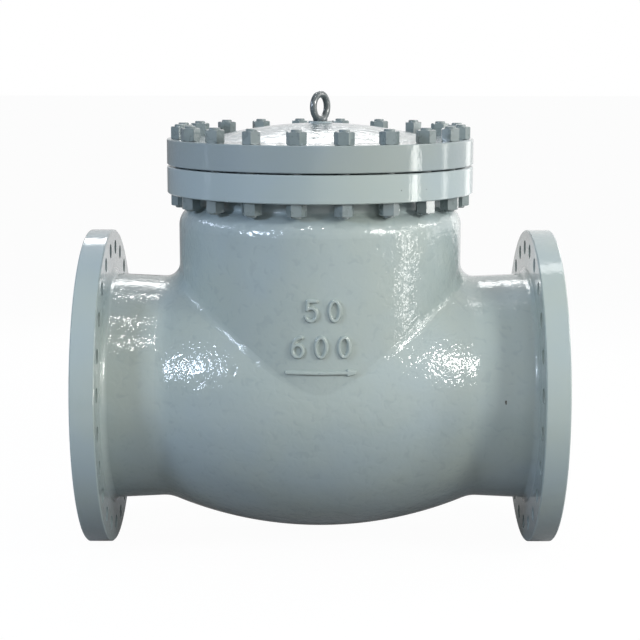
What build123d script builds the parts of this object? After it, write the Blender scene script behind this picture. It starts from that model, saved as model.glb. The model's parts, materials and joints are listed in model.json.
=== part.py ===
from build123d import *
import math
import os

# A large cast-steel swing check valve with flanged ends and a bolted bonnet. Millimetres.
# The flow runs along +X, from the inlet flange's raised face at x = 0.
# The bonnet points up, along +Z, and the hinge pin lies along Y.

# Flow passage and end flanges. The flanges' radii follow from the bore, outwards.
face_to_face = 1346.0
bore_radius = 295.3
wall = 27.0
raised_face_width = 50.8
raised_face_height = 2.0
flange_hole_margin = 60.3
flange_edge_margin = 51.1
flange_thickness = 69.9
flange_edge_chamfer = 3.0
flange_hole_count = 24
flange_hole_radius = 20.65
# The outlet flange is drilled after the inlet flange, this far out of line with it, in degrees.
drilling_error = 0.001
neck_flare = 8.0
neck_fillet = 18.0

# Barrel of the casting, a long arc turned about the flow's axis
belly_bulge = 88.7
belly_end_margin = 27.35
belly_blend = 100.0
crease_fillet = 45.0

# Seat, tilted so that the shut disc leans on it
seat_tilt = 5.0
seat_ring_width = 30.7
seat_ring_depth = 30.0
seat_stand_out = 12.0
seat_land_width = 17.0
seat_relief = 3.0
ledge_margin = 34.0

# Disc
disc_gap = 0.3
disc_overlap = 18.7
disc_rim_thickness = 26.0
disc_rim_chamfer = 8.0
disc_hub_radius = 62.0
disc_hub_height = 75.0
disc_hub_slope_width = 14.0
disc_hub_slope_height = 15.0
disc_recess_margin = 25.3
disc_recess_depth = 12.0
disc_stud_radius = 24.0
disc_stud_stand_out = 20.0
disc_washer_radius = 46.0
disc_washer_thickness = 8.0
disc_nut_across_flats = 75.0
disc_nut_height = 38.0
disc_pin_radius = 4.0

# Hinge pin and arm
pin_rise = 27.2
pin_offset = 55.0
pin_radius = 22.0
running_clearance = 0.05
loose_clearance = 1.0
bush_wall = 6.0
bush_length = 40.0
arm_hub_radius = 45.0
arm_hub_width = 114.0
arm_eye_radius = 58.0
arm_eye_thickness = 60.0
arm_thickness = 44.0
arm_top_width = 92.0
arm_bottom_width = 76.0
arm_rib_width = 22.0
arm_rib_height = 26.0
arm_edge_fillet = 6.0
turned_edge_chamfer = 2.0
heel_width = 28.0
heel_thickness = 30.0
open_angle = 58.0
stop_gap = 0.5

# Yoke that holds the pin
foot_thickness = 28.0
foot_depth = 60.0
foot_overhang = 10.0
foot_wall_gap = 4.0
lug_thickness = 32.0
lug_radius = 40.0
yoke_edge_chamfer = 2.0
foot_corner_chamfer = 8.0
screw_radius = 12.0
screw_hole_radius = 13.0
screw_across_flats = 36.0
screw_head_height = 15.0
screw_grip = 28.0
screw_lug_margin = 28.0
screw_edge_margin = 24.0
inner_screw_margin = 22.0
lock_washer_thickness = 5.0
lock_washer_width = 7.0
lock_washer_split = 3.0
pin_washer_thickness = 4.0
pin_washer_width = 14.0
split_pin_radius = 3.0
split_pin_clearance = 0.2
split_pin_margin = 4.5
pin_end_margin = 8.0

# Upright neck of the casting and the flange that carries the bonnet.
# The open disc passes through the opening, and the lower nuts clear the neck's shoulder.
opening_margin = 21.0
shoulder_step = 45.5
shoulder_radius = 60.0
shoulder_blend = 12.0
hinge_headroom = 22.8
nut_shoulder_gap = 0.8
stud_circle_margin = 41.0
bonnet_edge_margin = 37.0
body_flange_thickness = 76.5
body_flange_fillet = 10.0
bonnet_edge_chamfer = 2.5

# Bonnet
gasket_thickness = 4.5
gasket_inner_margin = 10.0
gasket_outer_margin = 8.5
bonnet_thickness = 72.7
dome_margin = 83.0
dome_rise = 43.0
dome_blend = 14.0
dish_margin = 35.0
dish_depth = 44.0
dish_lip_depth = 12.0
boss_radius = 34.0
boss_height = 5.5
boss_blend = 5.0

# Studs and nuts of the bonnet
stud_count = 20
stud_radius = 15.0
stud_hole_radius = 16.5
stud_stand_out = 6.0
stud_chamfer = 2.0
thread_clearance = 0.1
nut_across_flats = 48.0
nut_height = 35.0
# How far each nut is turned, in degrees, as the wrench left it. The eight angles repeat.
upper_nut_turns = (9, -13, 28, -5, -16, 28, -12, -6)
lower_nut_turns = (-4, -26, 17, -18, -26, -13, -1, 20)

# Lifting eye on the bonnet's boss
eye_shank_radius = 12.0
eye_shank_length = 36.0
eye_collar_radius = 21.0
eye_collar_height = 8.0
eye_bar_radius = 10.0
eye_loop_radius = 30.5
eye_loop_half_height = 35.8
eye_loop_height = 40.2
eye_turn = 50.0
eye_collar_chamfer = 1.5
blind_hole_spare = 4.0

# Worked out from the sizes above: the passage and the end flanges
centre_x = face_to_face / 2
flange_back = face_to_face / 2 - flange_thickness
run_neck_radius = bore_radius + wall
raised_face_radius = bore_radius + raised_face_width
flange_hole_circle_radius = raised_face_radius + flange_hole_margin
flange_radius = flange_hole_circle_radius + flange_edge_margin
belly_radius = run_neck_radius + belly_bulge
tilt_cos = math.cos(math.radians(seat_tilt))
tilt_sin = math.sin(math.radians(seat_tilt))

# Radii about the bonnet's axis, from the disc outwards
disc_radius = bore_radius + disc_overlap
disc_recess_radius = bore_radius - disc_recess_margin
seat_ring_radius = bore_radius + seat_ring_width
opening_radius = disc_radius + opening_margin
throat_radius = opening_radius + wall
upright_radius = throat_radius + shoulder_step
inner_upright_radius = upright_radius - wall
stud_circle_radius = throat_radius + stud_circle_margin
bonnet_flange_radius = stud_circle_radius + bonnet_edge_margin
dome_radius = stud_circle_radius - dome_margin
dish_radius = opening_radius - dish_margin

# The barrel's bulge is one arc that ends a little beyond the upright neck.
belly_half_length = upright_radius + belly_end_margin
belly_arc_radius = (belly_half_length**2 + belly_bulge**2) / (2 * belly_bulge)
belly_arc_centre = belly_radius - belly_arc_radius

# Places along the pin
lug_inner = arm_hub_width / 2 + loose_clearance
lug_outer = lug_inner + lug_thickness
inner_screw_offset = lug_inner - inner_screw_margin
outer_screw_offset = lug_outer + screw_lug_margin
foot_half_width = outer_screw_offset + screw_edge_margin
washer_face_y = lug_outer + loose_clearance / 2
split_pin_y = washer_face_y + pin_washer_thickness + split_pin_margin
pin_half_length = split_pin_y + pin_end_margin

# The yoke's back corners stand just clear of the neck's wall, and the seat follows from them.
ledge_height = seat_ring_radius + ledge_margin
foot_top = ledge_height + foot_thickness
foot_corner_radius = inner_upright_radius - foot_wall_gap
foot_back_x = centre_x - math.sqrt(foot_corner_radius**2 - foot_half_width**2)
foot_end_x = foot_back_x + foot_depth
screw_x = foot_back_x + (foot_depth - foot_overhang) / 2
ledge_end_x = foot_end_x - foot_overhang
seat_x = ledge_end_x + (seat_stand_out + ledge_height * tilt_sin) / tilt_cos

# The pin stands over the foot. Its drop is its distance from the disc's centre, up the seat.
pin_z = foot_top + pin_rise
pin_drop = (pin_z - pin_offset * tilt_sin) / tilt_cos
pin_x = seat_x + pin_offset * tilt_cos - pin_drop * tilt_sin

# Heights of the neck, from the hinge up to the eye
shoulder_height = pin_z + lug_radius + hinge_headroom
shoulder_arc_centre = upright_radius - shoulder_radius
shoulder_end_angle = math.acos((throat_radius - shoulder_arc_centre) / shoulder_radius)
shoulder_top = shoulder_height + shoulder_radius * math.sin(shoulder_end_angle)
flange_underside = shoulder_top + nut_shoulder_gap + nut_height
joint_height = flange_underside + body_flange_thickness
bonnet_underside = joint_height + gasket_thickness
bonnet_top = bonnet_underside + bonnet_thickness
boss_top = bonnet_top + dome_rise + boss_height

# Places out from the seat, along the disc's axis
disc_hub_face = disc_gap + disc_hub_height
eye_inner_face = disc_hub_face + disc_gap
eye_outer_face = eye_inner_face + arm_eye_thickness
disc_washer_face = eye_outer_face + disc_gap
disc_nut_face = disc_washer_face + disc_washer_thickness
disc_stud_end = disc_nut_face + disc_nut_height + disc_stud_stand_out

# Local x is along the pin, local y up the seat and local z out of it, with the flow.
seat_plane = Plane(
    origin=(seat_x, 0, 0),
    x_dir=(0, 1, 0),
    z_dir=(tilt_cos, 0, tilt_sin),
)


def corners(face, points):
    """The face's vertices that lie at the given points."""
    return [
        vertex
        for vertex in face.vertices()
        if any(math.dist((vertex.X, vertex.Y), point) < 0.01 for point in points)
    ]


def turned_about_z(face, x=0.0):
    """A solid turned from a profile of radius and height, about an upright axis at x."""
    return Pos(x, 0, 0) * revolve(Plane.XZ * face, Axis.Z)


def tube_profile(inner, outer, low, high):
    """Rectangle between two radii and two heights."""
    return make_face(
        Polyline((inner, low), (outer, low), (outer, high), (inner, high), close=True)
    )


def ring(inner, outer, low, high):
    """Plain ring about Z."""
    return revolve(Plane.XZ * tube_profile(inner, outer, low, high), Axis.Z)


def rod(radius, low, high, chamfer_length=0.0):
    """Plain rod about Z, with both ends chamfered."""
    solid = Pos(0, 0, low) * Cylinder(
        radius, high - low, align=(Align.CENTER, Align.CENTER, Align.MIN)
    )
    if chamfer_length > 0:
        solid = chamfer(solid.edges().filter_by(GeomType.CIRCLE), chamfer_length)
    return solid


def hexagon(across_flats, low, high):
    """Hexagonal prism about Z whose corners are turned off at the top and the bottom."""
    corner = across_flats / math.sqrt(3)
    flat = across_flats / 2
    turned_off = 0.6 * (corner - flat)
    prism = extrude(RegularPolygon(flat, 6, major_radius=False), high - low)
    outline = make_face(
        Polyline(
            (0, 0),
            (flat, 0),
            (corner, turned_off),
            (corner, high - low - turned_off),
            (flat, high - low),
            (0, high - low),
            close=True,
        )
    )
    return Pos(0, 0, low) * (prism & turned_about_z(outline))


def nut(across_flats, thread_radius, low, high):
    """Hexagon nut about Z."""
    bore = thread_radius + thread_clearance
    return hexagon(across_flats, low, high) - rod(bore, low, high)


def split_pin(radius, hole_half_length):
    """Split pin along Z through a shaft: a straight shank with its bent eye on top."""
    eye_wire = radius / 2
    eye_radius = 1.6 * radius
    shank_top = hole_half_length + radius
    shank = rod(radius, -hole_half_length - 3 * radius, shank_top)
    eye = Pos(0, 0, shank_top + eye_radius) * Rot(90, 0, 0) * Torus(eye_radius, eye_wire)
    return shank + eye


def around_bonnet(solid, count, radius, turns=(0,)):
    """Copies of a solid on a circle about the bonnet's axis, each turned by its own angle."""
    step = 360 / count
    copies = []
    for index in range(count):
        turn = turns[index % len(turns)]
        angle = (index + 0.5) * step
        place = Pos(centre_x, 0, 0) * Rot(0, 0, angle) * Pos(radius, 0, 0)
        copies.append(place * Rot(0, 0, turn - angle) * solid)
    return copies


def along_pin(solid, y=0.0):
    """Moves a solid made about Z to lie along the hinge pin, starting at y."""
    return Pos(pin_x, y, pin_z) * Rot(-90, 0, 0) * solid


def run_outside():
    """Outside of the barrel with both necks and end flanges, turned about the flow's axis."""
    half = face_to_face / 2
    face = half - raised_face_height
    neck_at_flange = run_neck_radius + neck_flare
    inlet = [
        (-half, 0),
        (-half, raised_face_radius),
        (-face, raised_face_radius),
        (-face, flange_radius),
        (-flange_back, flange_radius),
        (-flange_back, neck_at_flange),
        (-belly_half_length, run_neck_radius),
    ]
    outlet = [(-x, r) for x, r in inlet]
    outline = Polyline(*inlet)
    outline += ThreePointArc(inlet[-1], (0, belly_radius), outlet[-1])
    outline += Polyline(*reversed(outlet))
    outline += Line(outlet[0], inlet[0])
    profile = make_face(outline)
    profile = fillet(corners(profile, [inlet[6], outlet[6]]), belly_blend)
    profile = fillet(corners(profile, [inlet[5], outlet[5]]), neck_fillet)
    rims = [inlet[3], inlet[4], outlet[3], outlet[4]]
    profile = chamfer(corners(profile, rims), flange_edge_chamfer)
    return Pos(centre_x, 0, 0) * revolve(Plane.XZ * profile, Axis.X)


def upright_outside():
    """Outside of the upright neck and its flange, turned about the bonnet's axis."""
    shoulder_end = (throat_radius, shoulder_top)
    throat_top = (throat_radius, flange_underside)
    middle = (
        shoulder_arc_centre + shoulder_radius * math.cos(shoulder_end_angle / 2),
        shoulder_height + shoulder_radius * math.sin(shoulder_end_angle / 2),
    )
    outline = Polyline((0, 0), (upright_radius, 0), (upright_radius, shoulder_height))
    outline += ThreePointArc((upright_radius, shoulder_height), middle, shoulder_end)
    outline += Polyline(
        shoulder_end,
        throat_top,
        (bonnet_flange_radius, flange_underside),
        (bonnet_flange_radius, joint_height),
        (0, joint_height),
        (0, 0),
    )
    profile = make_face(outline)
    profile = fillet(corners(profile, [shoulder_end]), shoulder_blend)
    profile = fillet(corners(profile, [throat_top]), body_flange_fillet)
    rims = [(bonnet_flange_radius, flange_underside), (bonnet_flange_radius, joint_height)]
    profile = chamfer(corners(profile, rims), bonnet_edge_chamfer)
    return turned_about_z(profile, centre_x)


def cavity():
    """The hollow of the casting: barrel and upright neck, a wall's thickness inside the skin."""
    inner_arc = belly_arc_radius - wall
    meet = math.sqrt(inner_arc**2 - (bore_radius - belly_arc_centre) ** 2)
    outline = ThreePointArc(
        (-meet, bore_radius), (0, belly_radius - wall), (meet, bore_radius)
    )
    outline += Polyline((meet, bore_radius), (meet, 0), (-meet, 0), (-meet, bore_radius))
    barrel = Pos(centre_x, 0, 0) * revolve(Plane.XZ * make_face(outline), Axis.X)

    inner_shoulder = shoulder_radius - wall
    roof = shoulder_height + inner_shoulder
    outline = Polyline(
        (0, 0), (inner_upright_radius, 0), (inner_upright_radius, roof), (0, roof), close=True
    )
    profile = make_face(outline)
    profile = fillet(corners(profile, [(inner_upright_radius, roof)]), inner_shoulder)
    upright = turned_about_z(profile, centre_x)

    # The seat's boss fills the upstream end, up to the ledge that the yoke stands on.
    reach = 2 * face_to_face
    upstream = seat_plane * Pos(0, 0, -seat_stand_out) * Box(
        reach, reach, reach, align=(Align.CENTER, Align.CENTER, Align.MAX)
    )
    below_ledge = Pos(centre_x, 0, ledge_height) * Box(
        reach, reach, reach, align=(Align.CENTER, Align.CENTER, Align.MAX)
    )
    return barrel + upright - (upstream & below_ledge)


def flange_holes():
    """Bolt holes of both end flanges. They straddle the upright centreline."""
    hole = Rot(0, 90, 0) * Cylinder(
        flange_hole_radius,
        flange_thickness,
        align=(Align.CENTER, Align.CENTER, Align.MIN),
    )
    outlet_start = face_to_face - flange_thickness
    holes = []
    for start, turn in ((0, 0), (outlet_start, drilling_error)):
        for index in range(flange_hole_count):
            angle = (index + 0.5) * 360 / flange_hole_count + turn
            holes.append(
                Pos(start, 0, 0)
                * Rot(angle, 0, 0)
                * Pos(0, 0, flange_hole_circle_radius)
                * hole
            )
    return holes


def screw_places():
    """Where the four screws of the yoke stand."""
    offsets = (-outer_screw_offset, -inner_screw_offset, inner_screw_offset, outer_screw_offset)
    return [Pos(screw_x, offset, 0) for offset in offsets]


def make_body():
    """The body casting, machined: one hollow solid."""
    run = run_outside()
    upright = upright_outside()
    outside = run + upright
    crease = new_edges(run, upright, combined=outside)
    outside = fillet(crease, crease_fillet)

    bore = Rot(0, 90, 0) * Cylinder(
        bore_radius, face_to_face, align=(Align.CENTER, Align.CENTER, Align.MIN)
    )
    opening = Pos(centre_x, 0, 0) * rod(opening_radius, shoulder_height, joint_height)
    pocket = seat_plane * rod(
        seat_ring_radius + thread_clearance, -seat_ring_depth, seat_stand_out
    )
    cuts = [cavity(), bore, opening, pocket] + flange_holes()
    hole = rod(stud_hole_radius, flange_underside, joint_height)
    cuts += around_bonnet(hole, stud_count, stud_circle_radius)
    depth = screw_grip + blind_hole_spare
    tapped = rod(screw_radius + thread_clearance, ledge_height - depth, ledge_height)
    cuts += [place * tapped for place in screw_places()]
    return outside - cuts


def cap_height(radius, base_radius, rise):
    """Height of a round cap above its base, at a radius from its axis."""
    sphere = (base_radius**2 + rise**2) / (2 * rise)
    return math.sqrt(sphere**2 - radius**2) - (sphere - rise)


def make_bonnet():
    """The bonnet: a thick domed cover, dished underneath, with a tapped boss on top."""
    dish_lip = bonnet_underside + dish_lip_depth
    dish_rise = dish_depth - dish_lip_depth
    dome_foot = (dome_radius, bonnet_top)
    dome_middle = (dome_radius + boss_radius) / 2
    boss_foot = (boss_radius, bonnet_top + cap_height(boss_radius, dome_radius, dome_rise))
    outline = Polyline((0, boss_top), (boss_radius, boss_top), boss_foot)
    outline += ThreePointArc(
        boss_foot,
        (dome_middle, bonnet_top + cap_height(dome_middle, dome_radius, dome_rise)),
        dome_foot,
    )
    outline += Polyline(
        dome_foot,
        (bonnet_flange_radius, bonnet_top),
        (bonnet_flange_radius, bonnet_underside),
        (dish_radius, bonnet_underside),
        (dish_radius, dish_lip),
    )
    outline += ThreePointArc(
        (dish_radius, dish_lip),
        (dish_radius / 2, dish_lip + cap_height(dish_radius / 2, dish_radius, dish_rise)),
        (0, dish_lip + dish_rise),
    )
    outline += Line((0, dish_lip + dish_rise), (0, boss_top))
    profile = make_face(outline)
    profile = fillet(corners(profile, [dome_foot]), dome_blend)
    profile = fillet(corners(profile, [boss_foot]), boss_blend)
    rims = [(bonnet_flange_radius, bonnet_top), (bonnet_flange_radius, bonnet_underside)]
    profile = chamfer(corners(profile, rims), bonnet_edge_chamfer)
    cover = turned_about_z(profile, centre_x)

    holes = around_bonnet(
        rod(stud_hole_radius, bonnet_underside, bonnet_top), stud_count, stud_circle_radius
    )
    depth = eye_shank_length + blind_hole_spare
    tapped = rod(eye_shank_radius + thread_clearance, boss_top - depth, boss_top)
    return cover - holes - Pos(centre_x, 0, 0) * tapped


def make_gasket():
    """Flat ring between the body's flange and the bonnet, inside the studs."""
    inner = opening_radius + gasket_inner_margin
    outer = stud_circle_radius - stud_hole_radius - gasket_outer_margin
    return Pos(centre_x, 0, 0) * ring(inner, outer, joint_height, bonnet_underside)


def make_studs():
    """Fully threaded studs, each long enough for both nuts."""
    low = flange_underside - nut_height - stud_stand_out
    high = bonnet_top + nut_height + stud_stand_out
    stud = rod(stud_radius, low, high, stud_chamfer)
    return around_bonnet(stud, stud_count, stud_circle_radius)


def make_upper_nuts():
    """Nuts on the bonnet."""
    solid = nut(nut_across_flats, stud_radius, bonnet_top, bonnet_top + nut_height)
    return around_bonnet(solid, stud_count, stud_circle_radius, upper_nut_turns)


def make_lower_nuts():
    """Nuts under the body's flange."""
    low = flange_underside - nut_height
    solid = nut(nut_across_flats, stud_radius, low, flange_underside)
    return around_bonnet(solid, stud_count, stud_circle_radius, lower_nut_turns)


def make_eye_bolt():
    """Forged lifting eye: an oval loop of round bar on a collar and a shank."""
    path = Plane.XZ * EllipticalCenterArc(
        (0, eye_loop_height), eye_loop_radius, eye_loop_half_height, -90, arc_size=180
    )
    start = Plane(origin=path @ 0, z_dir=path % 0)
    half_loop = sweep(start * Circle(eye_bar_radius), path=path)
    loop = half_loop + mirror(half_loop, Plane.YZ)
    below = Box(
        4 * eye_loop_radius,
        4 * eye_loop_radius,
        2 * eye_loop_radius,
        align=(Align.CENTER, Align.CENTER, Align.MAX),
    )
    collar = rod(eye_collar_radius, 0, eye_collar_height, eye_collar_chamfer)
    shank = rod(eye_shank_radius, -eye_shank_length, 0)
    eye = loop - below + collar + shank
    return Pos(centre_x, 0, boss_top) * Rot(0, 0, eye_turn) * eye


def make_seat_ring():
    """Ring that the disc shuts on, with a narrow raised land round its bore."""
    land = bore_radius + seat_land_width
    outline = Polyline(
        (bore_radius, -seat_ring_depth),
        (seat_ring_radius, -seat_ring_depth),
        (seat_ring_radius, -seat_relief),
        (land, -seat_relief),
        (land, 0),
        (bore_radius, 0),
        close=True,
    )
    return seat_plane * turned_about_z(make_face(outline))


def make_disc():
    """Disc and its stud, one casting. The back rises to a hub, and the face is recessed."""
    rim = disc_gap + disc_rim_thickness
    chamfered = disc_radius - disc_rim_chamfer
    hub_foot = disc_hub_radius + disc_hub_slope_width
    outline = Polyline(
        (0, disc_gap + disc_recess_depth),
        (disc_recess_radius, disc_gap + disc_recess_depth),
        (disc_recess_radius + disc_recess_depth, disc_gap),
        (disc_radius, disc_gap),
        (disc_radius, rim),
        (chamfered, rim + disc_rim_chamfer),
        (hub_foot, disc_hub_face - disc_hub_slope_height),
        (disc_hub_radius, disc_hub_face),
        (disc_stud_radius, disc_hub_face),
        (disc_stud_radius, disc_stud_end),
        (0, disc_stud_end),
        close=True,
    )
    disc = turned_about_z(make_face(outline))
    return seat_plane * (disc - disc_pin_place() * disc_pin_hole())


def disc_pin_place():
    """Moves what is made about Z to lie across the disc's stud, just past its nut."""
    height = (disc_nut_face + disc_nut_height + disc_stud_end) / 2
    return Pos(0, 0, height) * Rot(0, 90, 0)


def disc_pin_hole():
    """Cross hole in the disc's stud."""
    return rod(disc_pin_radius + split_pin_clearance, -disc_stud_radius, disc_stud_radius)


def make_disc_washer():
    """Washer between the arm's eye and the disc's nut."""
    bore = disc_stud_radius + disc_gap
    washer = ring(bore, disc_washer_radius, disc_washer_face, disc_nut_face)
    return seat_plane * washer


def make_disc_nut():
    """Nut on the disc's stud."""
    top = disc_nut_face + disc_nut_height
    return seat_plane * nut(disc_nut_across_flats, disc_stud_radius, disc_nut_face, top)


def make_disc_nut_pin():
    """Split pin that locks the disc's nut."""
    return seat_plane * disc_pin_place() * split_pin(disc_pin_radius, disc_stud_radius)


def make_arm():
    """Swing arm: a hub on the pin, a ribbed bar, an eye on the disc's stud and a stop heel."""
    bush_radius = pin_radius + running_clearance + bush_wall
    hub_place = Pos(0, pin_drop, pin_offset) * Rot(0, 90, 0)
    half_width = arm_hub_width / 2
    hub = hub_place * rod(arm_hub_radius, -half_width, half_width, turned_edge_chamfer)
    eye = rod(arm_eye_radius, eye_inner_face, eye_outer_face, turned_edge_chamfer)

    # Seen along the pin, the bar runs straight from the hub to the eye.
    eye_middle = (eye_inner_face + eye_outer_face) / 2
    length = math.hypot(pin_drop, eye_middle - pin_offset)
    lean = math.degrees(math.atan2(eye_middle - pin_offset, pin_drop))
    half_top = arm_top_width / 2
    half_bottom = arm_bottom_width / 2
    front = make_face(
        Polyline(
            (-half_bottom, 0),
            (half_bottom, 0),
            (half_top, length),
            (-half_top, length),
            close=True,
        )
    )
    bar = extrude(front, arm_thickness / 2, both=True)
    bar = fillet(bar.edges().filter_by(lambda edge: edge.length > pin_drop / 2), arm_edge_fillet)
    rib_top = arm_thickness / 2 + arm_rib_height
    rib_outline = make_face(
        Polyline(
            (0, 0),
            (0, arm_thickness / 2),
            (arm_eye_radius, rib_top),
            (length - arm_hub_radius, rib_top),
            (length, arm_thickness / 2),
            (length, 0),
            close=True,
        )
    )
    rib = extrude(Plane.YZ * rib_outline, arm_rib_width / 2, both=True)
    bar = Pos(0, 0, eye_middle) * Rot(-lean, 0, 0) * (bar + rib)

    # The bar ends flush with the eye's two faces and leaves the disc's hub clear.
    clear_radius = disc_hub_radius + disc_hub_slope_width + 4 * loose_clearance
    trim = rod(clear_radius, -pin_drop, eye_inner_face)
    trim += rod(arm_eye_radius, eye_outer_face, 2 * pin_drop)
    arm = seat_plane * (hub + eye + (bar - trim))
    arm += make_heel()
    stud_bore = rod(disc_stud_radius + loose_clearance, -pin_drop, pin_drop)
    hub_bore = rod(bush_radius + running_clearance, -half_width, half_width)
    return arm - seat_plane * stud_bore - seat_plane * hub_place * hub_bore


def make_heel():
    """Heel that meets the yoke's foot at the open stop, turned back to where it is when shut."""
    reach = pin_x - foot_end_x + foot_overhang + stop_gap
    heel = Pos(pin_x - reach, 0, foot_top + stop_gap) * Box(
        reach,
        heel_width,
        heel_thickness,
        align=(Align.MIN, Align.CENTER, Align.MIN),
    )
    return heel.rotate(Axis((pin_x, 0, pin_z), (0, 1, 0)), open_angle)


def make_bushes():
    """Two bushes, flush with the ends of the arm's hub."""
    inner = pin_radius + running_clearance
    bush = ring(inner, inner + bush_wall, 0, bush_length)
    half_width = arm_hub_width / 2
    return [along_pin(bush, -half_width), along_pin(bush, half_width - bush_length)]


def make_yoke():
    """Yoke: a foot on the ledge and two lugs that reach out over the seat to the pin."""
    foot = Pos(foot_end_x, 0, ledge_height) * Box(
        foot_depth,
        2 * foot_half_width,
        foot_thickness,
        align=(Align.MAX, Align.CENTER, Align.MIN),
    )
    foot = chamfer(foot.edges().filter_by(Axis.Z), foot_corner_chamfer)
    foot = chamfer(foot.edges().group_by(Axis.Z)[-1], yoke_edge_chamfer)
    back = foot_end_x - foot_depth + foot_overhang
    outline = Pos(pin_x, pin_z) * Circle(lug_radius).edge()
    base = Polyline(
        (back, ledge_height + foot_thickness / 2),
        (foot_end_x, ledge_height + foot_thickness / 2),
        (foot_end_x, foot_top),
        (back, foot_top + foot_thickness),
        close=True,
    )
    side = make_hull([outline, *base.edges()])
    lug = extrude(Plane.XZ * side, -lug_thickness)
    lug = chamfer(lug.edges().filter_by(Plane.XZ), yoke_edge_chamfer)
    yoke = foot + Pos(0, lug_inner, 0) * lug + Pos(0, -lug_outer, 0) * lug
    bore = rod(pin_radius + running_clearance, -lug_outer, lug_outer)
    screw_hole = rod(screw_hole_radius, ledge_height, foot_top)
    return yoke - along_pin(bore) - [place * screw_hole for place in screw_places()]


def make_screws():
    """Hexagon screws through the yoke's foot into the ledge."""
    seat = foot_top + lock_washer_thickness
    head = hexagon(screw_across_flats, seat, seat + screw_head_height)
    screw = head + rod(screw_radius, ledge_height - screw_grip, seat)
    return [place * screw for place in screw_places()]


def make_lock_washers():
    """Split spring washers under the screws' heads."""
    outer = screw_hole_radius + lock_washer_width
    washer = ring(screw_hole_radius, outer, foot_top, foot_top + lock_washer_thickness)
    split = Pos(0, outer / 2, foot_top) * Box(
        lock_washer_split,
        outer,
        3 * lock_washer_thickness,
    )
    return [place * (washer - split) for place in screw_places()]


def make_pin():
    """Hinge pin, with a cross hole near each end."""
    pin = along_pin(rod(pin_radius, -pin_half_length, pin_half_length, turned_edge_chamfer))
    hole = rod(split_pin_radius + split_pin_clearance, -pin_radius, pin_radius)
    return pin - [Pos(pin_x, y, pin_z) * hole for y in (-split_pin_y, split_pin_y)]


def make_pin_washers():
    """Washers between the lugs and the split pins."""
    inner = pin_radius + disc_gap
    washer = ring(inner, inner + pin_washer_width, 0, pin_washer_thickness)
    low = -washer_face_y - pin_washer_thickness
    return [along_pin(washer, low), along_pin(washer, washer_face_y)]


def make_split_pins():
    """Split pins that keep the hinge pin in its lugs."""
    pin = split_pin(split_pin_radius, pin_radius)
    return [Pos(pin_x, y, pin_z) * pin for y in (-split_pin_y, split_pin_y)]


nodes = {
    "body": make_body,
    "bonnet": make_bonnet,
    "bonnet_gasket": make_gasket,
    "bonnet_studs": make_studs,
    "bonnet_nuts_upper": make_upper_nuts,
    "bonnet_nuts_lower": make_lower_nuts,
    "eye_bolt": make_eye_bolt,
    "seat_ring": make_seat_ring,
    "hinge_bracket": make_yoke,
    "bracket_screws": make_screws,
    "bracket_lock_washers": make_lock_washers,
    "hinge_pin": make_pin,
    "pin_washers": make_pin_washers,
    "pin_split_pins": make_split_pins,
    "hinge_arm": make_arm,
    "arm_bushes": make_bushes,
    "disc": make_disc,
    "disc_washer": make_disc_washer,
    "disc_nut": make_disc_nut,
    "disc_nut_pin": make_disc_nut_pin,
}

os.makedirs("parts", exist_ok=True)
for name, make in nodes.items():
    solid = make()
    if isinstance(solid, list):
        solid = Compound(children=solid)
    export_step(solid, f"parts/{name}.step")
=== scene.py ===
import json
import math

import bmesh
import bpy
import numpy as np
from mathutils import Euler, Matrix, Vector
from mathutils.bvhtree import BVHTree


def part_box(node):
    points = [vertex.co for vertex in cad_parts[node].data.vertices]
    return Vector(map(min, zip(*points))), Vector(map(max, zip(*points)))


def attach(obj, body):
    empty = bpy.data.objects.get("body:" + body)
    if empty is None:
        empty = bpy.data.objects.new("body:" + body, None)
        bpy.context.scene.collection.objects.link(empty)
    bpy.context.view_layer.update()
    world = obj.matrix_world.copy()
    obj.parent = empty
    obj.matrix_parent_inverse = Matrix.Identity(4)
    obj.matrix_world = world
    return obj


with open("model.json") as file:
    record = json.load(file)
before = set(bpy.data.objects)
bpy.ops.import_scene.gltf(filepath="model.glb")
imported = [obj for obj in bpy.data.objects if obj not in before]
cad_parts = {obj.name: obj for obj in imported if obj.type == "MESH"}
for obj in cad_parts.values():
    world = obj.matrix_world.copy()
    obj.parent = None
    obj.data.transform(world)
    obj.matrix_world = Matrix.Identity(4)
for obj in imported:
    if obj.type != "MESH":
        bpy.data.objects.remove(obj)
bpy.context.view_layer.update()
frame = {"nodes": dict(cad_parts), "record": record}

# Places taken from the frame, in metres. The flow runs along x and the upright neck along z.
body_low, body_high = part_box("body")
bonnet_low, bonnet_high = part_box("bonnet")
gasket_low, gasket_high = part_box("bonnet_gasket")
floor_height = body_low.z
centre_x = (body_low.x + body_high.x) / 2
half_length = (body_high.x - body_low.x) / 2
bonnet_radius = (bonnet_high.x - bonnet_low.x) / 2
bonnet_joint = (gasket_low.z + gasket_high.z) / 2
body_flange_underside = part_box("bonnet_nuts_lower")[1].z

# Sizes of the casting that the materials need, in metres
flange_thickness = 0.0699
machined_band = 0.006
raised_face_height = 0.002
bolt_holes_start = 0.383
run_neck_start = 0.38
run_neck_full = 0.46
neck_foot = 0.30
neck_reach = 0.42

# How far one material fades into the next, in metres
face_blend = 0.0002
joint_blend = 0.0005
bolt_holes_blend = 0.002
neck_foot_blend = 0.02
neck_top_blend = 0.004
neck_side_blend = 0.01

# Cast skin under the paint: cycles to the metre, height in metres, and how twisted the pattern is
swell_scale, swell_height = 11.0, 0.0050
lump_scale, lump_height, lump_twist = 42.0, 0.0024, 0.6
grain_scale, grain_height, grain_twist = 100.0, 0.0010, 0.8

# Shares of the skin's heights in calm places and on the run necks
calm_scale, calm_share = 4.5, 0.70
run_neck_waves = 0.60
run_neck_grain = 0.75

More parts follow.
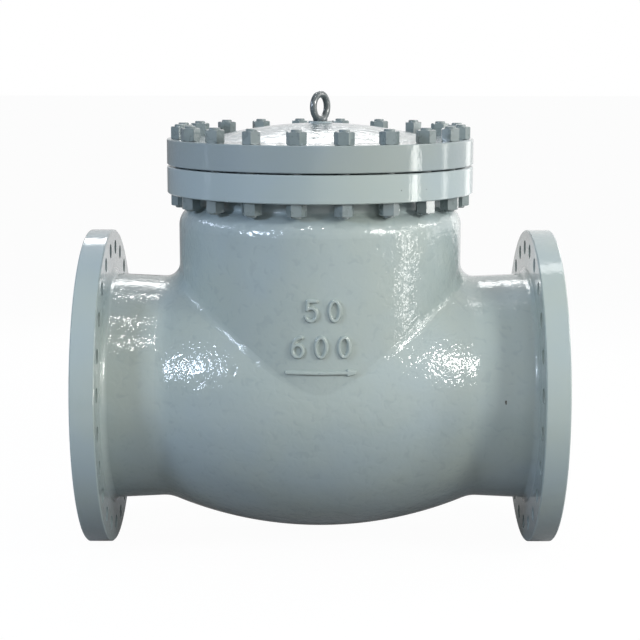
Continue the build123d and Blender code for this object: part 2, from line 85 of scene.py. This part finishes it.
# Skin of the paint itself, turned marks under it, and rings on the bare sealing faces
ripple_scale, ripple_height = 60.0, 0.00045
peel_scale, peel_height = 420.0, 0.00004
paint_grain_height = 0.00016
brush_scale, brush_height, brush_squash = 230.0, 0.00011, 0.06
ring_scale, ring_height = 900.0, 0.00012

# Share of the skin's waves that shades the paint's colour too, and not its gloss alone
shaded_waves = 0.32

# How far a normal points against the outward direction where the inside begins, and where it is sure
inward_start = -0.01
inward_full = -0.03

# Raised marks on the near side of the body, in metres. The digits are plain numbers.
mark_relief = 0.0085
mark_top_radius = 0.0022
mark_foot_radius = 0.0070
mark_sink = 0.0006
mark_depth = 0.010
mark_grid = 0.001
in_front = -1.0
digit_width = 0.030
digit_height = 0.053
digit_pitch = 0.0620
oval_steps = 28
upper_digits = ("50", 0.6345, 0.2583)
lower_digits = ("600", 0.5983, 0.1598)
arrow_start = (0.5830, 0.1160)
arrow_tip = (0.7660, 0.1160)
arrow_head = (0.0180, 0.0048)

# Floor: sizes in metres, and how much of its glow is seen straight on and in reflections
floor_size = 60.0
floor_drop = 0.0005
floor_grey = (0.26, 0.26, 0.26)
floor_glow = 1.10
floor_seen = 0.88
# Glow in reflections: less near the valve, a painted shadow, and less on the left, painted shade
floor_near, floor_near_share = 0.9, 0.05
floor_far, floor_far_share = 3.2, 0.80
floor_left, floor_left_share = -3.0, 0.2
floor_right, floor_right_share = 0.5, 1.0

# Surroundings: their light and their share in reflections, each at the left and at the right, and
# the sideways parts of the two directions where left and right begin
sky_colour = (0.90, 0.95, 1.0)
sky_light = (0.15, 0.22)
sky_mirrored = (0.05, 1.0)
sky_left = -0.8
sky_right = 0.3

# Lamps: name, place, width, height, watts and colour, in metres. All face the same point.
lamp_aim = Vector((centre_x, 0, 0.1))
cool = (0.70, 0.81, 1.0)
warm = (1.0, 0.99, 0.95)
plain = (1.0, 1.0, 1.0)
lamps = (
    ("right_window", (3.62, -2.55, 1.75), 0.72, 0.80, 82, warm),
    ("left_window", (-2.12, -2.48, 1.45), 0.80, 0.46, 66, cool),
    ("back_window", (0.50, 2.75, 2.68), 2.10, 0.70, 34, plain),
    ("right_door", (4.30, -1.35, 0.70), 0.45, 2.30, 36, warm),
    ("right_gap", (4.40, 0.65, 0.70), 0.30, 2.20, 8, warm),
    ("left_high_window", (-2.49, 0.40, 1.90), 1.50, 0.38, 19, cool),
    ("right_high_window", (3.83, 0.28, 1.85), 1.50, 0.35, 18, warm),
    ("front_fill", (1.70, -3.90, 1.60), 2.00, 1.40, 36, plain),
    ("back_fill", (0.30, 3.90, 1.10), 2.00, 1.40, 30, plain),
    ("top_window", (2.20, 0.90, 3.50), 0.60, 1.40, 12, plain),
    ("far_right_door", (3.10, 2.70, 0.60), 0.80, 2.00, 7, warm),
    ("left_gap", (-3.10, -0.18, 0.60), 0.06, 2.00, 1, cool),
    ("back_lamp", (0.02, 1.30, 3.45), 0.36, 0.035, 4, plain),
    ("middle_lamp", (0.06, -0.95, 3.65), 0.38, 0.045, 8, plain),
    ("front_lamp", (0.10, -2.30, 3.02), 0.40, 0.05, 9, plain),
)

# Lamps that soften the shadows without a highlight of their own
unseen_lamps = ("front_fill", "back_fill")

# Camera
camera_place = Vector((0.668, -4.5425, 0.9442))
camera_pitch = 0.1637
camera_yaw = -0.0009
camera_roll = -0.001
camera_lens = 88.24
sensor_width = 36.0

# Colours, as linear light
bonnet_shade = 0.77
enamel = (0.306, 0.371, 0.368)
enamel_cool = (0.298, 0.364, 0.385)
enamel_warm = (0.322, 0.376, 0.356)
# Darker enamel, painted shade for the lows of the cast skin
enamel_painted_shade = (0.215, 0.272, 0.270)
fastener_enamel = (0.165, 0.205, 0.208)
eye_paint = (0.070, 0.088, 0.094)
primer_dark = (0.035, 0.033, 0.030)
gasket_grey = (0.020, 0.020, 0.022)
machined_grey = (0.52, 0.52, 0.51)
casting_grey = (0.17, 0.165, 0.160)
casting_brown = (0.1955, 0.15675, 0.128)
bronze_brown = (0.50, 0.31, 0.13)
rust_red = (0.150, 0.085, 0.055)

# Small flaws of the paint: place on the casting and radius, in metres
paint_chips = (
    ((1.1840, -0.3251, 0.0215), 0.0026),
    ((1.1838, -0.3251, 0.0178), 0.0028),
    ((1.1842, -0.3252, 0.0143), 0.0022),
    ((0.8881, -0.3837, 0.6054), 0.0016),
    ((0.9577, -0.3352, 0.6042), 0.0014),
)


def add_node(tree, kind, inputs=None, **settings):
    """Adds a node with settings, and with sockets or plain values on its inputs."""
    node = tree.nodes.new(kind)
    for key, value in settings.items():
        setattr(node, key, value)
    for key, value in (inputs or {}).items():
        join(tree, value, node.inputs[key])
    return node


def join(tree, source, target):
    """Joins two sockets of a node tree, or sets the second to a plain value."""
    if isinstance(source, bpy.types.NodeSocket):
        tree.links.new(source, target)
    else:
        target.default_value = source


def smooth_rise(tree, value, low, high, start, end):
    """Goes smoothly from start to end as the value goes from low to high."""
    inputs = {"Value": value, "From Min": low, "From Max": high, "To Min": start, "To Max": end}
    node = add_node(tree, "ShaderNodeMapRange", inputs, interpolation_type="SMOOTHSTEP")
    return node.outputs[0]


def darker(colour, share):
    """The colour at a share of its brightness, which may also be above 1."""
    return tuple(share * value for value in colour)


class Shader:
    """A new node material, with short ways to add nodes and join them."""

    def __init__(self, name):
        self.material = bpy.data.materials.new(name)
        self.material.use_nodes = True
        self.tree = self.material.node_tree
        self.tree.nodes.clear()
        self.surface = self.node("ShaderNodeBsdfPrincipled")
        self.node("ShaderNodeOutputMaterial", {"Surface": self.surface.outputs[0]})
        self.position = self.node("ShaderNodeTexCoord").outputs["Object"]

    def node(self, kind, inputs=None, **settings):
        """Adds a node with settings and with inputs by name or number."""
        return add_node(self.tree, kind, inputs, **settings)

    def dress(self, inputs):
        """Gives the surface its sockets and plain values by name, and returns the material."""
        for name, value in inputs.items():
            join(self.tree, value, self.surface.inputs[name])
        return self.material

    def math(self, operation, first, second=0.0, third=0.0):
        """One calculation on numbers."""
        inputs = {0: first, 1: second, 2: third}
        return self.node("ShaderNodeMath", inputs, operation=operation).outputs[0]

    def product(self, *values):
        """Product of numbers."""
        total = values[0]
        for value in values[1:]:
            total = self.math("MULTIPLY", total, value)
        return total

    def relief(self, *layers):
        """Height in metres: the sum of patterns, each times its own height."""
        total = 0.0
        for pattern, height in layers:
            total = self.math("MULTIPLY_ADD", pattern, height, total)
        return total

    def noise(self, scale, detail=2.0, roughness=0.5, place=None, distortion=0.0):
        """Cloudy pattern from 0 to 1. The scale is in cycles to the metre."""
        inputs = {
            "Vector": place or self.position,
            "Scale": scale,
            "Detail": detail,
            "Roughness": roughness,
            "Distortion": distortion,
        }
        return self.node("ShaderNodeTexNoise", inputs).outputs["Fac"]

    def step(self, value, low, high, start=0.0, end=1.0):
        """Goes smoothly from start to end as the value goes from low to high."""
        return smooth_rise(self.tree, value, low, high, start, end)

    def mix(self, share, first, second):
        """Blend of two colours."""
        node = self.node("ShaderNodeMix", {0: share}, data_type="RGBA")
        for colour, socket in ((first, node.inputs[6]), (second, node.inputs[7])):
            if isinstance(colour, tuple):
                colour = (*colour, 1.0)
            join(self.tree, colour, socket)
        return node.outputs[2]

    def dim(self, colour, share):
        """Colour at a share of its brightness."""
        inputs = {0: colour, "Scale": share}
        return self.node("ShaderNodeVectorMath", inputs, operation="SCALE").outputs[0]

    def vector(self, x, y, z):
        """Vector of three numbers."""
        return self.node("ShaderNodeCombineXYZ", {0: x, 1: y, 2: z}).outputs[0]

    def length(self, vector):
        """Length of a vector."""
        return self.node("ShaderNodeVectorMath", {0: vector}, operation="LENGTH").outputs["Value"]

    def parts(self, vector):
        """The three numbers of a vector."""
        return self.node("ShaderNodeSeparateXYZ", {0: vector}).outputs[0:3]

    def distance(self, point):
        """Distance of the shaded place from a fixed point."""
        inputs = {0: self.position, 1: point}
        return self.node("ShaderNodeVectorMath", inputs, operation="DISTANCE").outputs["Value"]

    def bump(self, height):
        """Turns a height in metres into a normal."""
        inputs = {"Height": height, "Strength": 1.0, "Distance": 1.0}
        return self.node("ShaderNodeBump", inputs).outputs[0]


def from_middle(shader):
    """Distance from the middle of the valve along the flow."""
    x = shader.parts(shader.position)[0]
    return shader.math("ABSOLUTE", shader.math("SUBTRACT", x, centre_x))


def machined_share(shader):
    """1 where the casting was turned on a lathe before it was painted, 0 where it is rough."""
    along = from_middle(shader)
    y, z = shader.parts(shader.position)[1:3]
    flange_back = half_length - flange_thickness
    end_flange = shader.step(along, flange_back - machined_band / 2, flange_back)
    from_axis = shader.length(shader.vector(along, y, 0.0))
    rim = shader.step(from_axis, bonnet_radius - 2 * machined_band, bonnet_radius - machined_band)
    high_up = shader.step(z, body_flange_underside - machined_band, body_flange_underside)
    return shader.math("MAXIMUM", end_flange, shader.product(rim, high_up))


def sealing_face_share(shader):
    """1 on the two sealing faces, which were turned and left bare."""
    face_middle = half_length - raised_face_height / 2
    return shader.step(from_middle(shader), face_middle - face_blend, face_middle + face_blend)


def inward_share(shader, outward):
    """1 where the surface faces against a vector, 0 where it faces along it."""
    normal = shader.node("ShaderNodeTexCoord").outputs["Normal"]
    facing = shader.node("ShaderNodeVectorMath", {0: normal, 1: outward}, operation="DOT_PRODUCT")
    return shader.step(facing.outputs["Value"], inward_start, inward_full)


def inside_share(shader):
    """1 on the walls of the passage and the chamber, whose normals point inwards."""
    x, y, z = shader.parts(shader.position)
    from_flow = shader.vector(0.0, y, z)
    passage_end = bolt_holes_start - bolt_holes_blend
    in_passage = shader.step(shader.length(from_flow), bolt_holes_start, passage_end)
    passage = shader.product(inward_share(shader, from_flow), in_passage)
    from_neck = shader.vector(shader.math("SUBTRACT", x, centre_x), y, 0.0)
    above_foot = shader.step(z, neck_foot - neck_foot_blend, neck_foot)
    below_top = shader.step(z, body_flange_underside, body_flange_underside - neck_top_blend)
    in_neck = shader.step(shader.length(from_neck), neck_reach, neck_reach - neck_side_blend)
    chamber = shader.product(inward_share(shader, from_neck), above_foot, below_top, in_neck)
    return shader.math("MAXIMUM", passage, chamber)


def enamel_colour(shader, lumps, rough):
    """Grey enamel with cooler and warmer patches, with painted shade in the skin's lows, and darker on
    the bonnet.
    """
    tint = shader.step(shader.noise(2.2, detail=3.0, roughness=0.6), 0.35, 0.65)
    colour = shader.mix(tint, enamel_cool, enamel_warm)
    patches = shader.step(shader.noise(14.0, detail=4.0, roughness=0.6), 0.35, 0.75)
    colour = shader.mix(shader.product(patches, 0.35), colour, enamel)
    # Painted shade: the lows of the cast skin get a darker enamel
    painted_shade_lows = shader.product(shader.step(lumps, 0.44, 0.24), rough, 0.25)
    colour = shader.mix(painted_shade_lows, colour, enamel_painted_shade)
    z = shader.parts(shader.position)[2]
    shade = shader.step(z, bonnet_joint - joint_blend, bonnet_joint + joint_blend, 1.0, bonnet_shade)
    return shader.dim(colour, shade)


def chipped_colour(shader, colour):
    """The colour with dark primer in each chip, whose edge is ragged."""
    for place, radius in paint_chips:
        ragged = shader.math("MULTIPLY_ADD", shader.noise(300.0), radius, shader.distance(place))
        chip = shader.step(ragged, 1.55 * radius, 1.35 * radius)
        colour = shader.mix(chip, colour, primer_dark)
    return colour


def turned_rings(shader):
    """Fine rings around the flow's axis."""
    y, z = shader.parts(shader.position)[1:3]
    radius = shader.length(shader.vector(0.0, y, z))
    return shader.noise(ring_scale, roughness=0.6, place=shader.vector(radius, 0.0, 0.0))


def turned_marks(shader):
    """Fine marks across the rims, long from top to bottom."""
    x, y, z = shader.parts(shader.position)
    squashed = shader.vector(x, y, shader.product(z, brush_squash))
    return shader.noise(brush_scale, place=squashed)


def cast_skin(shader, lumps, grain, rough):
    """Waves and pits under the paint, stronger in some places and calmer on the run necks."""
    uneven = shader.step(shader.noise(calm_scale), 0.38, 0.62, calm_share, 1.0)
    along = from_middle(shader)
    wave_share = shader.step(along, run_neck_start, run_neck_full, 1.0, run_neck_waves)
    grain_share = shader.step(along, run_neck_start, run_neck_full, 1.0, run_neck_grain)
    swell = shader.noise(swell_scale)
    waves = shader.relief((shader.product(lumps, uneven), lump_height), (swell, swell_height))
    waves = shader.product(waves, rough, wave_share)
    pits = shader.product(grain, grain_height, uneven, rough, grain_share)
    return waves, pits


def paint_skin(shader, grain, turned):
    """Orange peel and ripples of the paint, with traces of what lies under it."""
    return shader.relief(
        (shader.noise(peel_scale), peel_height),
        (shader.noise(ripple_scale, detail=1.0), ripple_height),
        (grain, paint_grain_height),
        (shader.product(turned_marks(shader), turned), brush_height),
    )


def bare_colour(shader, colour, rings, face, inside):
    """The colour with rusty casting on the inside and turned steel on the sealing faces."""
    rust = shader.step(shader.noise(30.0, detail=4.0, roughness=0.65), 0.45, 0.75)
    casting = shader.mix(rust, casting_grey, rust_red)
    steel = shader.mix(rings, darker(machined_grey, 0.7), machined_grey)
    colour = shader.mix(inside, colour, casting)
    return shader.mix(face, colour, steel)


def painted_casting():
    """Glossy enamel over a casting that is rough where it wasn't turned, bare inside and on its faces."""
    shader = Shader("painted_casting")
    turned = machined_share(shader)
    rough = shader.math("SUBTRACT", 1.0, turned)
    face = sealing_face_share(shader)
    inside = inside_share(shader)
    rings = turned_rings(shader)
    lumps = shader.noise(lump_scale, detail=1.0, distortion=lump_twist)
    grain = shader.noise(grain_scale, detail=1.0, distortion=grain_twist)

    waves, pits = cast_skin(shader, lumps, grain, rough)
    skin = shader.math("ADD", waves, pits)
    gloss = shader.math("ADD", skin, paint_skin(shader, grain, turned))
    shaded = shader.relief((shader.product(rings, face), ring_height), (waves, shaded_waves))

    colour = chipped_colour(shader, enamel_colour(shader, lumps, rough))
    roughness = shader.step(grain, 0.3, 0.7, 0.40, 0.52)
    roughness = shader.math("MULTIPLY_ADD", inside, 0.15, roughness)
    roughness = shader.math("MULTIPLY_ADD", face, -0.12, roughness)
    return shader.dress({
        "Base Color": bare_colour(shader, colour, rings, face, inside),
        "Roughness": roughness,
        "Metallic": shader.math("MAXIMUM", face, shader.product(inside, 0.5)),
        "Normal": shader.bump(shaded),
        "Specular IOR Level": 0.2,
        "Coat Weight": shader.math("SUBTRACT", 1.0, shader.math("MAXIMUM", face, inside)),
        "Coat Roughness": 0.035,
        "Coat Normal": shader.bump(gloss),
    })


def painted_fastener():
    """The same enamel, brushed over nuts and stud ends."""
    shader = Shader("painted_fastener")
    lumps = shader.noise(45.0)
    peel = shader.noise(350.0)
    normal = shader.bump(shader.relief((lumps, 0.0003), (peel, 0.00008)))
    shade = shader.step(lumps, 0.35, 0.65)
    return shader.dress({
        "Base Color": shader.mix(shade, darker(fastener_enamel, 0.94), fastener_enamel),
        "Roughness": shader.step(lumps, 0.3, 0.7, 0.25, 0.40),
        "Normal": normal,
        "Coat Weight": 0.8,
        "Coat Roughness": 0.08,
        "Coat Normal": normal,
    })


def painted_eye():
    """Darker paint over a forging."""
    shader = Shader("painted_eye")
    lumps = shader.noise(90.0, detail=3.0, roughness=0.6)
    shade = shader.step(lumps, 0.3, 0.7)
    return shader.dress({
        "Base Color": shader.mix(shade, darker(eye_paint, 0.75), eye_paint),
        "Roughness": shader.step(lumps, 0.3, 0.7, 0.32, 0.5),
        "Normal": shader.bump(shader.relief((lumps, 0.0004))),
        "Coat Weight": 1.0,
        "Coat Roughness": 0.07,
    })


def gasket_sheet():
    """Dark fibre sheet."""
    shader = Shader("gasket")
    fibres = shader.noise(900.0, detail=4.0, roughness=0.7)
    return shader.dress({
        "Base Color": shader.mix(fibres, darker(gasket_grey, 0.5), darker(gasket_grey, 2.0)),
        "Roughness": 0.8,
        "Normal": shader.bump(shader.relief((fibres, 0.0002))),
    })


def machined_steel():
    """Turned or milled steel with fine tool marks."""
    shader = Shader("machined_steel")
    x, y, z = shader.parts(shader.position)
    squashed = shader.vector(x, shader.product(y, 12.0), z)
    marks = shader.noise(160.0, detail=3.0, roughness=0.6, place=squashed)
    stains = shader.step(shader.noise(22.0, detail=4.0, roughness=0.6), 0.35, 0.7)
    return shader.dress({
        "Base Color": shader.mix(stains, darker(machined_grey, 0.62), machined_grey),
        "Roughness": shader.step(marks, 0.3, 0.7, 0.24, 0.42),
        "Metallic": 1.0,
        "Normal": shader.bump(shader.relief((marks, 0.00008))),
    })


def bare_casting():
    """Unpainted cast steel, dull and pitted."""
    shader = Shader("bare_casting")
    lumps = shader.noise(45.0, detail=3.0, roughness=0.6)
    pits = shader.noise(260.0, detail=4.0, roughness=0.65)
    colour = shader.mix(shader.step(pits, 0.35, 0.65), darker(casting_grey, 0.55), casting_grey)
    return shader.dress({
        "Base Color": shader.mix(shader.step(lumps, 0.5, 0.8, 0.0, 0.5), colour, casting_brown),
        "Roughness": shader.step(pits, 0.3, 0.7, 0.42, 0.62),
        "Metallic": 0.85,
        "Normal": shader.bump(shader.relief((lumps, 0.0016), (pits, 0.0005))),
    })


def bronze():
    """Turned bronze."""
    shader = Shader("bronze")
    marks = shader.noise(300.0, detail=3.0, roughness=0.6)
    return shader.dress({
        "Base Color": shader.mix(marks, darker(bronze_brown, 0.7), bronze_brown),
        "Roughness": shader.step(marks, 0.3, 0.7, 0.22, 0.38),
        "Metallic": 1.0,
        "Normal": shader.bump(shader.relief((marks, 0.00006))),
    })


def dress_nodes():
    """Gives each node of the frame the material of its slot in the record."""
    makers = {
        "painted_casting": painted_casting,
        "painted_fastener": painted_fastener,
        "painted_eye": painted_eye,
        "gasket": gasket_sheet,
        "machined_steel": machined_steel,
        "bare_casting": bare_casting,
        "bronze": bronze,
    }
    finishes = {slot: make() for slot, make in makers.items()}
    for part in frame["record"]["subparts"]:
        piece = frame["nodes"][part["node"]]
        piece.data.materials.clear()
        piece.data.materials.append(finishes[part["material_slot"]])
    return finishes


def oval(centre, radii, start, sweep):
    """Points along part of an oval, with angles in degrees."""
    points = []
    for i in range(oval_steps + 1):
        angle = math.radians(start + sweep * i / oval_steps)
        across = centre[0] + radii[0] * math.cos(angle)
        up = centre[1] + radii[1] * math.sin(angle)
        points.append((across, up))
    return points


def digit_strokes(digit):
    """Centre lines of one digit in a square of size 1."""
    if digit == "5":
        bowl = oval((0.47, 0.33), (0.50, 0.33), 128, -283)
        return [[(0.92, 1.0), (0.20, 1.0), (0.13, 0.56)] + bowl]
    if digit == "6":
        back = oval((0.86, 0.38), (0.84, 0.62), 180, -88)
        ring = oval((0.49, 0.31), (0.47, 0.31), 0, 360)
        return [back, ring]
    return [oval((0.5, 0.5), (0.46, 0.5), 0, 360)]


def text_strokes(text, left, foot):
    """Centre lines of a row of digits on the front, in metres."""
    strokes = []
    for i, digit in enumerate(text):
        start = left + i * digit_pitch
        for line in digit_strokes(digit):
            strokes.append([(start + u * digit_width, foot + v * digit_height) for u, v in line])
    return strokes


def arrow_strokes():
    """Centre lines of the arrow that shows which way the flow goes."""
    back, half_height = arrow_head
    barb = arrow_tip[0] - back
    lines = [[arrow_start, arrow_tip]]
    for side in (-1, 1):
        lines.append([arrow_tip, (barb, arrow_tip[1] + side * half_height)])
    return lines


def distance_to_strokes(x, z, strokes):
    """Distance of grid points from the nearest centre line."""
    nearest = np.full(x.shape, 1.0)
    for line in strokes:
        for (x1, z1), (x2, z2) in zip(line, line[1:]):
            run, rise = x2 - x1, z2 - z1
            length = max(run * run + rise * rise, 1e-12)
            share = np.clip(((x - x1) * run + (z - z1) * rise) / length, 0, 1)
            away = np.hypot(x - x1 - share * run, z - z1 - share * rise)
            nearest = np.minimum(nearest, away)
    return nearest


def raise_mark(name, strokes, skin, finish):
    """Rounded ridges along centre lines, standing out of the near side of the body."""
    places = np.array([point for line in strokes for point in line])
    low = places.min(axis=0) - mark_foot_radius - 2 * mark_grid
    high = places.max(axis=0) + mark_foot_radius + 2 * mark_grid
    x, z = np.meshgrid(np.arange(low[0], high[0], mark_grid), np.arange(low[1], high[1], mark_grid))
    away = distance_to_strokes(x, z, strokes)
    share = np.clip((away - mark_top_radius) / (mark_foot_radius - mark_top_radius), 0, 1)
    relief = (mark_relief + mark_sink) * (1 - share * share * (3 - 2 * share)) - mark_sink
    used = away < mark_foot_radius + 0.5 * mark_grid

    grid = bmesh.new()
    corners = {}
    for row, column in zip(*np.nonzero(used)):
        start = Vector((x[row, column], in_front, z[row, column]))
        point, normal = skin.ray_cast(start, Vector((0, 1, 0)))[0:2]
        corners[row, column] = grid.verts.new(point + float(relief[row, column]) * normal)
    for row, column in corners:
        square = [(row, column), (row, column + 1), (row + 1, column + 1), (row + 1, column)]
        if all(corner in corners for corner in square):
            grid.faces.new([corners[corner] for corner in square])
    for corner in [corner for corner in grid.verts if not corner.link_faces]:
        grid.verts.remove(corner)

    # Close the ridges at the back, inside the casting
    front = list(grid.faces)
    moved = bmesh.ops.extrude_face_region(grid, geom=front, use_keep_orig=True)["geom"]
    for corner in moved:
        if isinstance(corner, bmesh.types.BMVert):
            corner.co.y += mark_depth
    bmesh.ops.recalc_face_normals(grid, faces=grid.faces)
    mesh = bpy.data.meshes.new(name)
    grid.to_mesh(mesh)
    grid.free()
    mesh.shade_smooth()
    mesh.materials.append(finish)
    mark = bpy.data.objects.new(name, mesh)
    bpy.context.scene.collection.objects.link(mark)
    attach(mark, "valve")


def make_marks(finish):
    """Flow arrow and plain numbers, cast with the body."""
    body = frame["nodes"]["body"]
    skin = BVHTree.FromObject(body, bpy.context.evaluated_depsgraph_get())
    raise_mark("raised_digits_upper", text_strokes(*upper_digits), skin, finish)
    raise_mark("raised_digits_lower", text_strokes(*lower_digits), skin, finish)
    raise_mark("flow_arrow", arrow_strokes(), skin, finish)


def seen_share(tree, straight, mirrored):
    """One share for what is seen straight on, another for reflections and glass, 0 for light."""
    path = add_node(tree, "ShaderNodeLightPath").outputs
    shares = {"Is Camera Ray": straight, "Is Glossy Ray": mirrored, "Is Transmission Ray": mirrored}
    total = 0.0
    for name, share in shares.items():
        inputs = {0: path[name], 1: share, 2: total}
        node = add_node(tree, "ShaderNodeMath", inputs, operation="MULTIPLY_ADD", use_clamp=True)
        total = node.outputs[0]
    return total


def painted_floor_shadow_share(tree):
    """Share of the floor's glow in reflections: less near the valve, a painted shadow, and less on the
    left, painted shade.
    """
    place = add_node(tree, "ShaderNodeTexCoord").outputs["Object"]
    distance = add_node(tree, "ShaderNodeVectorMath", {0: place}, operation="LENGTH").outputs["Value"]
    far = smooth_rise(tree, distance, floor_near, floor_far, floor_near_share, floor_far_share)
    x = add_node(tree, "ShaderNodeSeparateXYZ", {0: place}).outputs["X"]
    side = smooth_rise(tree, x, floor_left, floor_right, floor_left_share, floor_right_share)
    return add_node(tree, "ShaderNodeMath", {0: far, 1: side}, operation="MULTIPLY").outputs[0]


def make_floor():
    """Plain pale floor. What the camera sees of it is almost white, with a faint shadow."""
    size = floor_size
    mesh = bpy.data.meshes.new("floor")
    corners = [(-size, -size, 0), (size, -size, 0), (size, size, 0), (-size, size, 0)]
    mesh.from_pydata(corners, [], [(0, 1, 2, 3)])
    floor = bpy.data.objects.new("floor", mesh)
    floor.location = (centre_x, 0, floor_height - floor_drop)
    bpy.context.scene.collection.objects.link(floor)

    material = bpy.data.materials.new("floor")
    material.use_nodes = True
    tree = material.node_tree
    tree.nodes.clear()
    matt = add_node(tree, "ShaderNodeBsdfDiffuse", {"Color": (*floor_grey, 1.0)}).outputs[0]
    glow = add_node(tree, "ShaderNodeEmission", {"Strength": floor_glow}).outputs[0]
    share = seen_share(tree, floor_seen, painted_floor_shadow_share(tree))
    mix = add_node(tree, "ShaderNodeMixShader", {0: share, 1: matt, 2: glow})
    add_node(tree, "ShaderNodeOutputMaterial", {"Surface": mix.outputs[0]})
    mesh.materials.append(material)


def rise_to_the_right(tree, left, right):
    """Goes from one value to another from the left of the surroundings to the right."""
    direction = add_node(tree, "ShaderNodeTexCoord").outputs["Generated"]
    x = add_node(tree, "ShaderNodeSeparateXYZ", {0: direction}).outputs["X"]
    return smooth_rise(tree, x, sky_left, sky_right, left, right)


def make_world():
    """White surroundings for what the camera and the reflections see, dimmer as light."""
    world = bpy.data.worlds.new("studio")
    bpy.context.scene.world = world
    world.use_nodes = True
    tree = world.node_tree
    tree.nodes.clear()
    strength = rise_to_the_right(tree, *sky_light)
    light = add_node(tree, "ShaderNodeBackground", {"Color": (*sky_colour, 1.0), "Strength": strength})
    seen = add_node(tree, "ShaderNodeBackground", {"Color": (1.0, 1.0, 1.0, 1.0), "Strength": 1.0})
    share = seen_share(tree, 1.0, rise_to_the_right(tree, *sky_mirrored))
    mix = add_node(tree, "ShaderNodeMixShader", {0: share, 1: light.outputs[0], 2: seen.outputs[0]})
    add_node(tree, "ShaderNodeOutputWorld", {"Surface": mix.outputs[0]})


def make_lamp(name, place, width, height, power, colour):
    """Rectangular studio lamp that faces the valve."""
    data = bpy.data.lights.new(name, "AREA")
    data.shape = "RECTANGLE"
    data.size = width
    data.size_y = height
    data.energy = power
    data.color = colour
    lamp = bpy.data.objects.new(name, data)
    lamp.location = place
    aim = lamp_aim - Vector(place)
    lamp.rotation_euler = aim.to_track_quat("-Z", "Y").to_euler()
    lamp.visible_glossy = name not in unseen_lamps
    bpy.context.scene.collection.objects.link(lamp)


def make_lights():
    """Windows beside and behind the valve, doors, soft fill, and a row of ceiling lamps."""
    for lamp in lamps:
        make_lamp(*lamp)


def make_camera():
    """Camera at the photograph's place, with its lens."""
    data = bpy.data.cameras.new("camera")
    data.lens = camera_lens
    data.sensor_width = sensor_width
    camera = bpy.data.objects.new("camera", data)
    camera.location = camera_place
    camera.rotation_euler = Euler((math.pi / 2 - camera_pitch, camera_roll, camera_yaw))
    bpy.context.scene.collection.objects.link(camera)
    bpy.context.scene.camera = camera


bpy.context.scene.view_settings.view_transform = "Standard"
make_camera()
make_world()
make_floor()
make_lights()
finishes = dress_nodes()
make_marks(finishes["painted_casting"])
